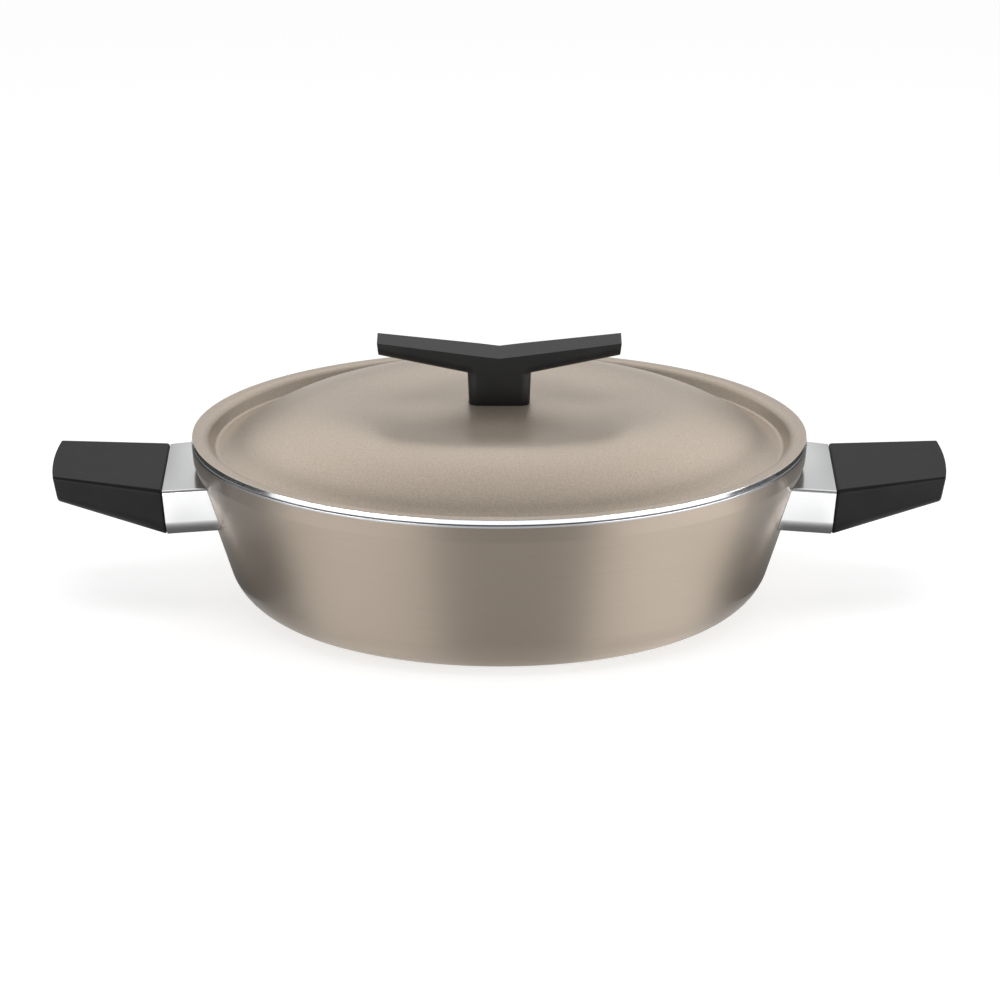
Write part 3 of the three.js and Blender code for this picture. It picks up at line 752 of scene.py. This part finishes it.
def bar_top(reach):
    return PAD_TOP + BAR_DIP_HEIGHT + reach * math.tan(BAR_TOP_ANGLE)


def knob_outline():
    """Front outline of bar and stem in one, as (across, up, rounding) corners from the dip round."""
    root = PAD_TOP + STEM_HEIGHT
    tip_top = bar_top(BAR_HALF_LENGTH)
    tip_bottom = root + (BAR_HALF_LENGTH - STEM_HALF_WIDTH) * math.tan(BAR_UNDER_ANGLE)
    tip_foot = BAR_HALF_LENGTH - (tip_top - tip_bottom) * math.tan(TIP_LEAN)
    stem_foot = STEM_HALF_WIDTH - STEM_HEIGHT * math.tan(STEM_DRAFT)
    right = [
        (BAR_HALF_LENGTH, tip_top, 0),
        (tip_foot, tip_bottom, 0),
        (STEM_HALF_WIDTH, root, BAR_FILLET),
        (stem_foot, PAD_TOP, 0),
    ]
    left = [(-across, up, rounding) for across, up, rounding in reversed(right)]
    return [(0, bar_top(0), 0)] + right + left


def knob_shape():
    """The outline pulled back to a solid, leaned and swept in, with soft lower edges and stem corners."""
    shape = moved(section_shape(knob_outline()), FACING_FRONT)
    extrude_section(shape, (0, BACK - FRONT, 0))
    stem_flat = STEM_HALF_WIDTH - STEM_CORNER
    for across in (-stem_flat, stem_flat):
        slice_shape(shape, (across, 0, 0), (1, 0, 0))
    for vert in shape.verts:
        sweep = max(abs(vert.co.x) - stem_flat, 0) * math.tan(BAR_SWEEP)
        vert.co.y *= front_depth(vert.co.z) - sweep
    bmesh.ops.recalc_face_normals(shape, faces=shape.faces)
    soft_edges = [edge for edge in shape.edges if is_soft_knob_edge(edge)]
    round_edges(shape, soft_edges, KNOB_ROUNDING, KNOB_ROUNDING_STEPS, clamp=False)
    round_edges(shape, sharp_edges(shape), MOULDED_EDGE, MOULDED_EDGE_STEPS)
    return shape


def is_soft_knob_edge(edge):
    """Whether an edge lies between the front or back and the bar's underside or the stem's sides."""
    first, second = edge.verts
    crosses = first.co.y * second.co.y < 0
    is_fold = edge.calc_face_angle(0) < SHARP_EDGE
    tops = [vert.co.z > bar_top(abs(vert.co.x)) - MOULDED_EDGE for vert in edge.verts]
    feet = [vert.co.z < PAD_TOP + MOULDED_EDGE for vert in edge.verts]
    return not (crosses or is_fold or any(tops) or all(feet))


def make_knob():
    bore_top = PAD_TOP + INSERT_LENGTH + 2 * JOINT_GAP
    bore = turned_shape([
        (0, 0, 0),
        (INSERT_BORE_RADIUS, 0, 0),
        (INSERT_BORE_RADIUS, bore_top, 0),
        (0, bore_top, 0),
    ], FASTENER_STEPS)
    shape = combined(knob_shape(), bore, "DIFFERENCE")
    make_piece("knob_moulding", shape, [KNOB_BLACK], "lid", "bakelite", "lid_knob")


# Handles, made at +X and turned half round for the left
HANDLE_LEVEL = POT_HEIGHT - HANDLE_DROP
JOINT = Vector((wall_radius(HANDLE_LEVEL) + SLEEVE_REACH, 0, HANDLE_LEVEL))
SLEEVE_AXES = Matrix.Translation(JOINT) @ Matrix.Rotation(SLEEVE_PITCH, 4, "Y")
SCREW_START = JOINT + Vector((0, 0, SCREW_OFFSET))
SCREW_AXES = Matrix.Translation(SCREW_START) @ Matrix.Rotation(math.pi / 2 - SCREW_PITCH, 4, "Y")
ACROSS_UP = Matrix(((0, 0, 1, 0), (1, 0, 0, 0), (0, 1, 0, 0), (0, 0, 0, 1)))
HANDLE_TURNS = {"right": 0.0, "left": math.pi}
RIVET_SIDES = {"front": FRONT, "back": BACK}


def joint_section(step, edge, inset=0):
    """Section where sleeve and grip meet, standing square to the sleeve's own axis."""
    half_width = JOINT_HALF_WIDTH - inset
    foot = half_width - HANDLE_LEAN
    top = JOINT_HALF_HEIGHT + step - inset
    bottom = inset - JOINT_HALF_HEIGHT
    corner = HANDLE_CORNER - inset
    corners = [
        (half_width, top, edge),
        (-half_width, top, edge),
        (-foot, bottom, corner),
        (foot, bottom, corner),
    ]
    return moved(section_shape(corners), ACROSS_UP)


def flared(across, distance):
    """How far out a side of the sleeve lies at a distance back from the joint."""
    return across * (1 + distance * SLEEVE_FLARE / JOINT_HALF_WIDTH)


def distance_to_wall(point):
    """How far back along the sleeve's axis a point of its joint lies from the pot's wall."""
    distance = SLEEVE_REACH
    for _ in range(SLEEVE_SEARCH_STEPS):
        place = SLEEVE_AXES @ Vector((-distance, flared(point.y, distance), point.z))
        distance += math.hypot(place.x, place.y) - wall_radius(place.z)
    return distance


def sleeve_shape():
    """Sheet tube from the joint back to the wall, which its far edge follows."""
    shape = joint_section(0, SLEEVE_EDGE)
    bmesh.ops.delete(shape, geom=shape.faces[:], context="FACES_ONLY")
    level = [edge for edge in shape.edges if edge.calc_length() > JOINT_HALF_WIDTH]
    bmesh.ops.subdivide_edges(shape, edges=level, cuts=SLEEVE_COLUMNS)
    pulled = bmesh.ops.extrude_edge_only(shape, edges=shape.edges[:])["geom"]
    for vert in (item for item in pulled if isinstance(item, bmesh.types.BMVert)):
        distance = distance_to_wall(vert.co) - SLEEVE_GAP
        vert.co.y = flared(vert.co.y, distance)
        vert.co.x -= distance
    bmesh.ops.recalc_face_normals(shape, faces=shape.faces)
    return moved(shape, SLEEVE_AXES)


def grip_block():
    """Block that narrows and rises from the joint to a bowed end."""
    shape = joint_section(GRIP_STEP, GRIP_EDGE)
    bmesh.ops.translate(shape, verts=shape.verts, vec=(JOINT_GAP, 0, 0))
    end = extrude_section(moved(shape, SLEEVE_AXES), (0, 0, 0))
    joint_height = 2 * JOINT_HALF_HEIGHT + GRIP_STEP
    to_joint = SLEEVE_AXES.inverted()
    for vert in end.verts:
        below_top = JOINT_HALF_HEIGHT + GRIP_STEP - (to_joint @ vert.co).z
        drop = below_top / joint_height * GRIP_END_HEIGHT
        vert.co.x = JOINT.x + GRIP_LENGTH - drop * math.tan(GRIP_END_LEAN)
        vert.co.y *= GRIP_END_HALF_WIDTH / JOINT_HALF_WIDTH
        vert.co.z = HANDLE_LEVEL + GRIP_END_RISE - drop
    for i in range(1, BULGE_COLUMNS + 1):
        side = GRIP_END_HALF_WIDTH * BULGE_SHARE * (2 * i / (BULGE_COLUMNS + 1) - 1)
        slice_shape(shape, (0, side, 0), (0, 1, 0))
    middle = JOINT.x + GRIP_LENGTH / 2
    for vert in shape.verts:
        if vert.co.x > middle:
            vert.co.x += GRIP_BULGE * (1 - (vert.co.y / GRIP_END_HALF_WIDTH) ** 2)
    bmesh.ops.recalc_face_normals(shape, faces=shape.faces)
    end_edges = [edge for edge in sharp_edges(shape) if edge.verts[0].co.x > middle]
    round_edges(shape, end_edges, GRIP_EDGE, GRIP_EDGE_STEPS)
    mouth_edges = [edge for edge in sharp_edges(shape) if edge.verts[0].co.x < middle]
    round_edges(shape, mouth_edges, GRIP_MOUTH_EDGE, GRIP_EDGE_STEPS)
    return shape


def grip_bore():
    """Hole along the grip's screw, with a wider pocket for its head."""
    shape = turned_shape([
        (0, SPIGOT_END - JOINT_GAP, 0),
        (SCREW_HOLE_RADIUS, SPIGOT_END - JOINT_GAP, 0),
        (SCREW_HOLE_RADIUS, SCREW_SHOULDER, 0),
        (SCREW_POCKET_RADIUS, SCREW_SHOULDER, 0),
        (SCREW_POCKET_RADIUS, 2 * GRIP_LENGTH, 0),
        (0, 2 * GRIP_LENGTH, 0),
    ], FASTENER_STEPS)
    return moved(shape, SCREW_AXES)


def spigot_shape():
    """Tongue of the grip that fills the sleeve's mouth."""
    shape = joint_section(0, MOULDED_EDGE, SLEEVE_SHEET + JOINT_GAP)
    bmesh.ops.translate(shape, verts=shape.verts, vec=(SPIGOT_START, 0, 0))
    extrude_section(shape, (SPIGOT_END - SPIGOT_START, 0, 0))
    bmesh.ops.recalc_face_normals(shape, faces=shape.faces)
    return moved(shape, SLEEVE_AXES)


def grip_shape():
    """Block and tongue in one moulding, bored for the screw."""
    moulding = combined(grip_block(), spigot_shape(), "UNION")
    return combined(moulding, grip_bore(), "DIFFERENCE")


def screw_shape(tip, seat, radius, head_radius, head_height):
    """Pan-head screw along Z with a cross recess, its head beyond the seat."""
    out = math.copysign(1, seat - tip)
    crown = seat + out * head_height
    shape = turned_shape([
        (0, tip, 0),
        (radius, tip, FINE_EDGE),
        (radius, seat, 0),
        (head_radius, seat, FINE_EDGE),
        (head_radius, crown, head_height * SCREW_CROWN_SHARE),
        (0, crown, 0),
    ], FASTENER_STEPS)
    place = Matrix.Translation((0, 0, crown))
    size = Matrix.Diagonal((2 * CROSS_ARM, 2 * CROSS_HALF_WIDTH, 2 * CROSS_DEPTH, 1))
    for turn in (0, math.pi / 2):
        bar = bmesh.new()
        bmesh.ops.create_cube(bar, size=1, matrix=place @ Matrix.Rotation(turn, 4, "Z") @ size)
        shape = combined(shape, bar, "DIFFERENCE")
    return shape


def rivet_shape():
    """Rivet through the wall and the bracket, with a low domed head at each end."""
    inner = -WALL - JOINT_GAP
    outer = BRACKET_PLATE + 2 * JOINT_GAP
    dome = RIVET_HEAD_HEIGHT * RIVET_DOME_SHARE
    return turned_shape([
        (0, inner - RIVET_HEAD_HEIGHT, 0),
        (RIVET_HEAD_RADIUS, inner - RIVET_HEAD_HEIGHT, dome),
        (RIVET_HEAD_RADIUS, inner, 0),
        (RIVET_RADIUS, inner, 0),
        (RIVET_RADIUS, outer, 0),
        (RIVET_HEAD_RADIUS, outer, 0),
        (RIVET_HEAD_RADIUS, outer + RIVET_HEAD_HEIGHT, dome),
        (0, outer + RIVET_HEAD_HEIGHT, 0),
    ], FASTENER_STEPS)


def rivet_axes(side):
    radius = wall_radius(HANDLE_LEVEL)
    around = Matrix.Rotation(side * math.asin(RIVET_OFFSET / radius), 4, "Z")
    outward = Matrix.Rotation(math.pi / 2 + WALL_ANGLE, 4, "Y")
    return around @ Matrix.Translation((radius, 0, HANDLE_LEVEL)) @ outward


def make_handle(hand, turn):
    half_round = Matrix.Rotation(turn, 4, "Z")
    sleeve = make_piece("sleeve_" + hand, moved(sleeve_shape(), half_round), [POLISHED_STEEL], "pot",
                        "polished_steel", "ferrule_" + hand)
    # The sheet thickens inward, before its shading is evened
    sheet = sleeve.modifiers.new("sheet", "SOLIDIFY")
    sheet.thickness = SLEEVE_SHEET
    sheet.offset = -1
    sleeve.modifiers.move(1, 0)
    make_piece("grip_moulding_" + hand, moved(grip_shape(), half_round), [GRIP_BLACK], "pot", "bakelite",
               "grip_" + hand)
    for face, side in RIVET_SIDES.items():
        place = rivet_axes(side * math.cos(turn))
        rivet = moved(rivet_shape(), place, half_round)
        make_piece(f"domed_rivet_{hand}_{face}", rivet, [BARE_ALUMINIUM], "pot", "bare_aluminium",
                   f"rivet_{hand}_{face}")
    washer_seat = SCREW_SHOULDER + JOINT_GAP
    washer_face = washer_seat + WASHER_THICKNESS
    washer = ring_shape(SCREW_RADIUS + JOINT_GAP, SCREW_HEAD_RADIUS, washer_seat, washer_face)
    make_piece("grip_washer_" + hand, moved(washer, SCREW_AXES, half_round), [FASTENER_STEEL], "pot",
               "fastener_steel", "handle_washer_" + hand)
    screw_seat = washer_face + JOINT_GAP
    screw = screw_shape(SCREW_TIP, screw_seat, SCREW_RADIUS, SCREW_HEAD_RADIUS, SCREW_HEAD_HEIGHT)
    make_piece("grip_screw_" + hand, moved(screw, SCREW_AXES, half_round), [FASTENER_STEEL], "pot",
               "fastener_steel", "handle_screw_" + hand)


def make_knob_fixing():
    seat = PAD_BOTTOM - KNOB_WASHER_THICKNESS
    washer = ring_shape(KNOB_HOLE_RADIUS, KNOB_WASHER_RADIUS, seat, PAD_BOTTOM)
    make_piece("lid_washer", washer, [FASTENER_STEEL], "lid", "fastener_steel", "knob_washer")
    tip = PAD_TOP + JOINT_GAP + INSERT_LENGTH - KNOB_SCREW_STOP
    screw = screw_shape(tip, seat, KNOB_SCREW_RADIUS, KNOB_SCREW_HEAD_RADIUS, KNOB_SCREW_HEAD_HEIGHT)
    make_piece("lid_screw", screw, [FASTENER_STEEL], "lid", "fastener_steel", "knob_screw")


def dress_hidden_nodes():
    """Finishes for the inner pieces that keep their CAD shape."""
    hidden = {"bracket_left": BARE_ALUMINIUM, "bracket_right": BARE_ALUMINIUM, "knob_insert": BRASS}
    for node, material in hidden.items():
        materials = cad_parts[node].data.materials
        materials.clear()
        materials.append(material)


make_pot()
make_lid()
make_knob()
make_knob_fixing()
for hand, turn in HANDLE_TURNS.items():
    make_handle(hand, turn)
dress_hidden_nodes()


# Stage
FLOOR_SIZE = 40.0
FLOOR_LEVEL = -0.0003
FLOOR_COLOR = (0.6, 0.6, 0.6)
FLOOR_LIFT = 0.66
ROOM_LEVEL = 0.1
HORIZON = (0.06, 0.11)
BACK_GLOW = 1.0
BACK_TURN = (0.0, 0.8)
WALL_GLOW = 0.4
WALL_FALL = (0.45, 0.75)
GLOW_RISE = (0.08, 0.45)
TOP_GLOW = 0.1
TOP_RISE = (0.5, 0.95)
# Dark cards beyond the grips paint dark reflections into shiny sides; they show only in gloss
CARD_OFFSET = 0.28
CARD_FRONT = -0.07
CARD_BACK = 1.4
CARD_SIDES = {"right": 1, "left": -1}
CARD_HEIGHTS = {"right": (0.02, 0.38), "left": (0.06, 0.38)}
CARD_COLOR = (0.01, 0.01, 0.01)
# The shade is a painted shadow under each sleeve: a dark fading card seen only in reflections
SHADE_MIDDLE = 0.131
SHADE_HALF_WIDTH = 0.021
SHADE_FADE = (0.03, 0.155)
SHADE_DEPTH = 0.88
SHADE_LEVEL = 0.0005


def background_rays(tree):
    """One where a ray sees the background: straight from the camera, in gloss or through glass."""
    path = tree.nodes.new("ShaderNodeLightPath")
    seen = math_node(tree, "MAXIMUM", path.outputs["Is Camera Ray"], path.outputs["Is Glossy Ray"])
    return math_node(tree, "MAXIMUM", seen, path.outputs["Is Transmission Ray"])


def make_floor():
    """A pale floor just under the pot, clear from below so that the base can be seen."""
    finish = Finish("pale_floor", color=FLOOR_COLOR, metallic=0.0, roughness=1.0)
    tree = finish.tree
    finish.shader.inputs["Specular IOR Level"].default_value = 0.0
    finish.shader.inputs["Emission Color"].default_value = (1, 1, 1, 1)
    finish.feed("Emission Strength", math_node(tree, "MULTIPLY", background_rays(tree), FLOOR_LIFT))
    is_below = tree.nodes.new("ShaderNodeNewGeometry").outputs["Backfacing"]
    finish.feed("Alpha", math_node(tree, "SUBTRACT", 1.0, is_below))
    shape = bmesh.new()
    bmesh.ops.create_grid(shape, x_segments=1, y_segments=1, size=FLOOR_SIZE / 2,
                          matrix=Matrix.Translation((0, 0, FLOOR_LEVEL)))
    floor = mesh_object("floor", shape, [finish.material])


def eased(tree, value, marks, low, high):
    """A mapped level that sets off and ends softly."""
    return mapped(tree, value, marks, low, high, "SMOOTHSTEP")


def make_world():
    """A dim room with a white horizon. Its walls glow softly, most at the back, and its ceiling a little."""
    world = bpy.data.worlds.new("studio")
    world.use_nodes = True
    tree = world.node_tree
    direction = tree.nodes.new("ShaderNodeSeparateXYZ")
    tree.links.new(tree.nodes.new("ShaderNodeTexCoord").outputs["Generated"], direction.inputs[0])
    _, back, up = direction.outputs
    horizon = eased(tree, up, HORIZON, 1.0, ROOM_LEVEL)
    risen = eased(tree, up, GLOW_RISE, 0.0, 1.0)
    back_glow = eased(tree, back, BACK_TURN, 0.0, BACK_GLOW)
    wall_glow = math_node(tree, "MAXIMUM", back_glow, eased(tree, up, WALL_FALL, WALL_GLOW, 0.0))
    top_glow = eased(tree, up, TOP_RISE, 0.0, TOP_GLOW)
    glow = math_node(tree, "ADD", math_node(tree, "MULTIPLY", risen, wall_glow), top_glow)
    background = tree.nodes["Background"]
    background.inputs["Color"].default_value = (1, 1, 1, 1)
    tree.links.new(math_node(tree, "ADD", horizon, glow), background.inputs["Strength"])
    bpy.context.scene.world = world


def card_finish(name):
    return Finish(name, color=CARD_COLOR, metallic=0.0, roughness=1.0)


def fading_shadow_card():
    """Painted shadow: a dark card finish that thins away to the front and the back, seen only in
    reflections.
    """
    finish = card_finish("fading_shadow_card")
    tree = finish.tree
    place = tree.nodes.new("ShaderNodeSeparateXYZ")
    tree.links.new(finish.place, place.inputs[0])
    away = math_node(tree, "ABSOLUTE", place.outputs["Y"])
    finish.feed("Alpha", eased(tree, away, SHADE_FADE, SHADE_DEPTH, 0.0))
    return finish.material


def make_card(name, shape, material):
    """A dark card near the pot that shows only in gloss, where it paints dark reflections and shadow into
    shiny sides.
    """
    card = mesh_object(name, shape, [material])
    card.visible_camera = False
    card.visible_diffuse = False
    card.visible_shadow = False


def make_cards():
    """A dark card stands beyond each grip and rises to the back, painting dark reflections, and a painted
    shadow lies under each sleeve, seen only in reflections.
    """
    dark = card_finish("dark_reflection_card").material
    fading = fading_shadow_card()
    for hand, side in CARD_SIDES.items():
        # Upright card that paints dark reflections, seen only in gloss
        upright = bmesh.new()
        low = [upright.verts.new((side * CARD_OFFSET, y, 0)) for y in (CARD_FRONT, CARD_BACK)]
        high = [upright.verts.new((*vert.co.xy, height)) for vert, height in zip(low, CARD_HEIGHTS[hand])]
        upright.faces.new(low + high[::-1])
        make_card(hand + "_card", upright, dark)
        # Painted shadow under the sleeve, seen only in reflections
        shade = bmesh.new()
        size = Matrix.Diagonal((SHADE_HALF_WIDTH, SHADE_FADE[1], 1, 1))
        place = Matrix.Translation((side * SHADE_MIDDLE, 0, SHADE_LEVEL))
        bmesh.ops.create_grid(shade, x_segments=1, y_segments=1, size=1, matrix=place @ size)
        make_card(hand + "_shade", shade, fading)


def aim(item, azimuth, elevation, distance):
    """Stands a lamp or a camera at a distance from the pot, facing it. Azimuth 0 is the front."""
    level = math.cos(elevation)
    away = Vector((math.sin(azimuth) * level, -math.cos(azimuth) * level, math.sin(elevation)))
    item.location = VIEW_TARGET + away * distance
    item.rotation_euler = away.to_track_quat("Z", "Y").to_euler()


def make_softbox(name, azimuth, elevation, distance, width, height, brightness):
    """A rectangular lamp, with its angles in degrees and its brightness as radiance over its face."""
    lamp = bpy.data.lights.new(name, "AREA")
    lamp.shape = "RECTANGLE"
    lamp.size = width
    lamp.size_y = height
    lamp.energy = brightness * math.pi * width * height
    box = new_object(name, lamp)
    aim(box, math.radians(azimuth), math.radians(elevation), distance)
    return box


def make_camera():
    lens = bpy.data.cameras.new("view")
    lens.sensor_width = VIEW_SENSOR
    lens.lens = VIEW_LENS
    lens.shift_x, lens.shift_y = VIEW_SHIFT
    camera = new_object("view", lens)
    aim(camera, 0, VIEW_ELEVATION, VIEW_DISTANCE)
    bpy.context.scene.camera = camera


make_floor()
make_world()
key = make_softbox("key", azimuth=0, elevation=68, distance=1.5, width=1.3, height=0.9, brightness=2.0)
key.visible_glossy = False
make_softbox("right_strip", azimuth=63, elevation=0, distance=0.6, width=0.68, height=0.08, brightness=18.6)
make_softbox("left_strip", azimuth=-51, elevation=0, distance=0.6, width=0.66, height=0.08, brightness=14.4)
make_cards()
make_camera()
bpy.context.scene.view_settings.view_transform = "Standard"
